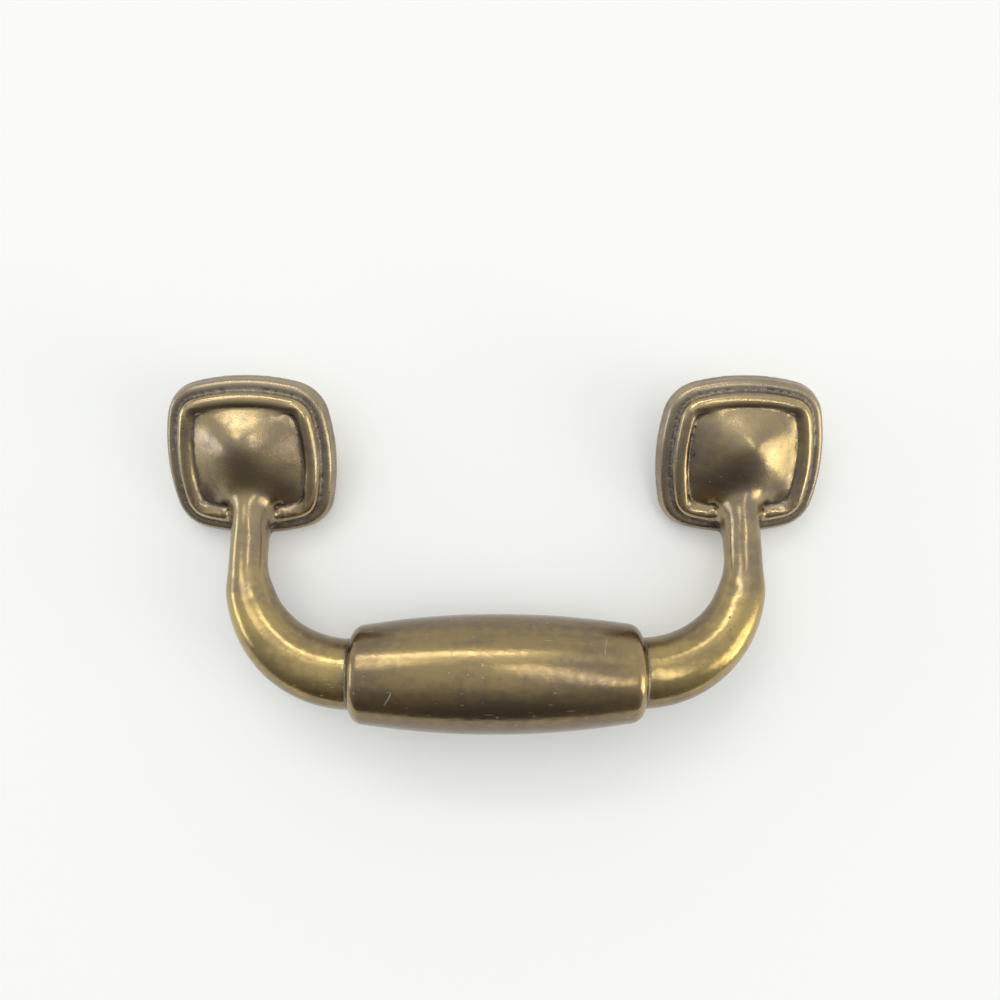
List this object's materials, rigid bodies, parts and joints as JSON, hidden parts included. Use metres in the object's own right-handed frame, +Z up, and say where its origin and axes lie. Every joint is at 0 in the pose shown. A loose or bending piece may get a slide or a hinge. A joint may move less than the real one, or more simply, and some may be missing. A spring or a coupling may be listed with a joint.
{
  "type": "drop pull",
  "caption": "Rigid cast drawer pull in antiqued brass: cushion-shaped rosettes flow into curved arms that swell onto a barrel grip below; screws fix it from behind.",
  "frame": {"origin": "midway between the screw holes, on the back plane that meets the drawer front", "axes": "+X along the pair of screw holes, +Y back into the drawer front, +Z up; the grip hangs towards -Z and stands out towards -Y"},
  "size_m": [0.1024, 0.0253, 0.0509],
  "materials": {
    "antique_brass": "dark antique patina, worn bright on the high spots"
  },
  "bodies": {
    "root": {"pull_casting": "antique_brass"}
  },
  "joints": []
}
